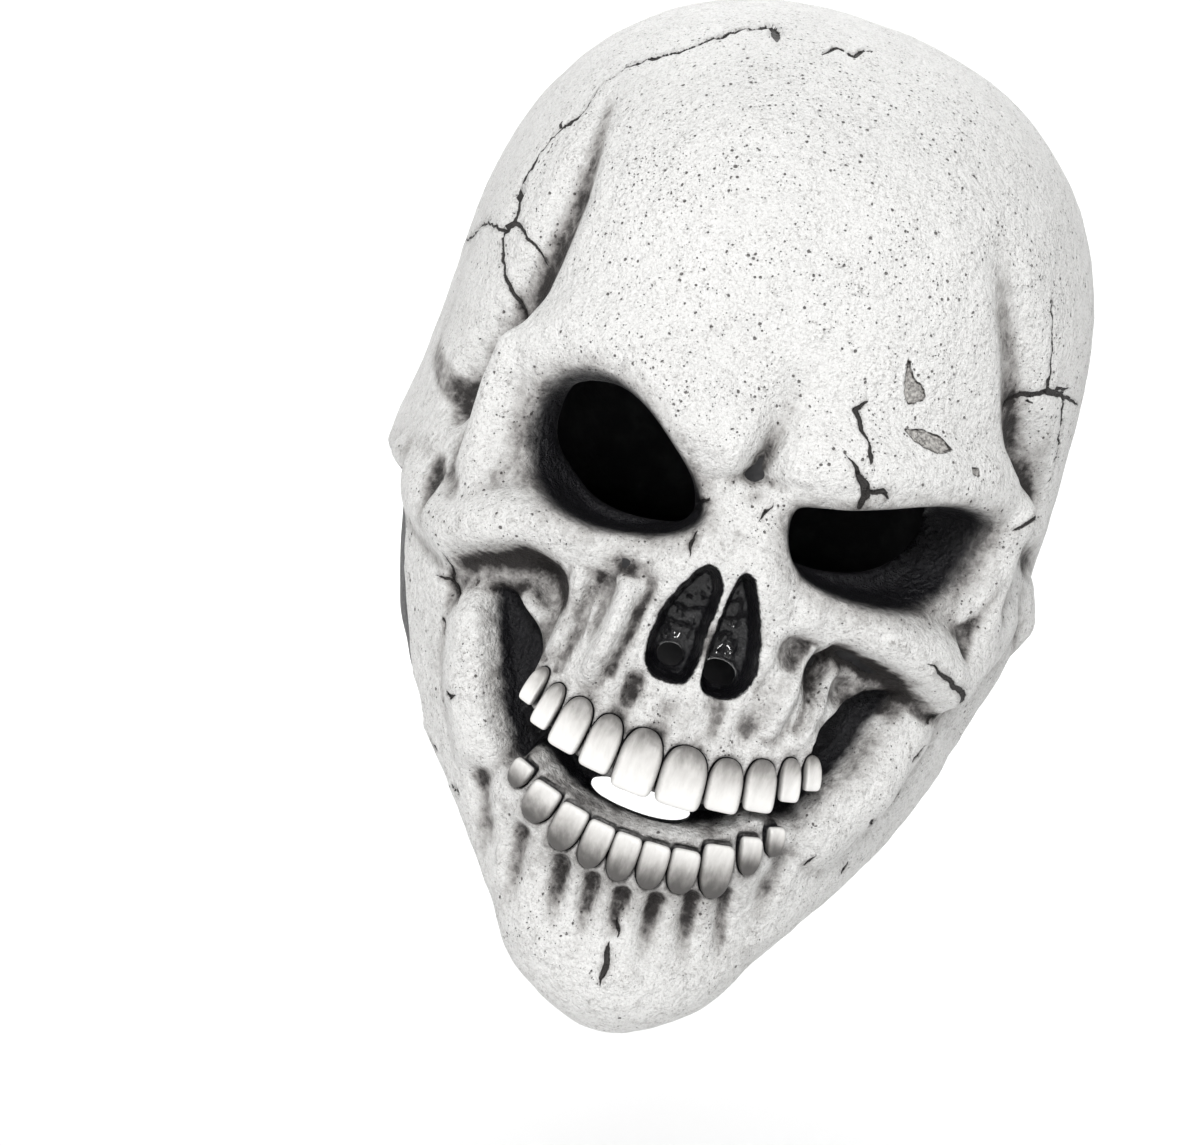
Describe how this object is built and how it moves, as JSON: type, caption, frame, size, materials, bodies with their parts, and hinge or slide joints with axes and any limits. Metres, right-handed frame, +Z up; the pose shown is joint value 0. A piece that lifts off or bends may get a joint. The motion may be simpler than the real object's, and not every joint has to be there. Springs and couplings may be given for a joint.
{
  "type": "skull mask",
  "caption": "Over-the-head skull mask: a hollow flexible skin with eye, nose and mouth openings and rows of teeth.",
  "frame": {"origin": "the inner crown, where the wearer's head carries the mask", "axes": "+Z up, -Y the way the face looks, +X towards the wearer's left"},
  "size_m": [0.1727, 0.2093, 0.2491],
  "materials": {
    "bone_latex": "matte white paint with grey and black wash in the hollows",
    "tooth_latex": "satin white paint, grey towards the gum"
  },
  "bodies": {
    "root": {"skull_shell": "bone_latex", "upper_tooth_01": "tooth_latex", "upper_tooth_02": "tooth_latex", "upper_tooth_03": "tooth_latex", "upper_tooth_04": "tooth_latex", "upper_tooth_05": "tooth_latex", "upper_tooth_06": "tooth_latex", "upper_tooth_07": "tooth_latex", "upper_tooth_08": "tooth_latex", "upper_tooth_09": "tooth_latex", "upper_tooth_10": "tooth_latex", "lower_tooth_01": "tooth_latex", "lower_tooth_02": "tooth_latex", "lower_tooth_03": "tooth_latex", "lower_tooth_04": "tooth_latex", "lower_tooth_05": "tooth_latex", "lower_tooth_06": "tooth_latex", "lower_tooth_07": "tooth_latex", "lower_tooth_08": "tooth_latex", "lower_tooth_09": "tooth_latex", "lower_tooth_10": "tooth_latex"}
  },
  "joints": []
}
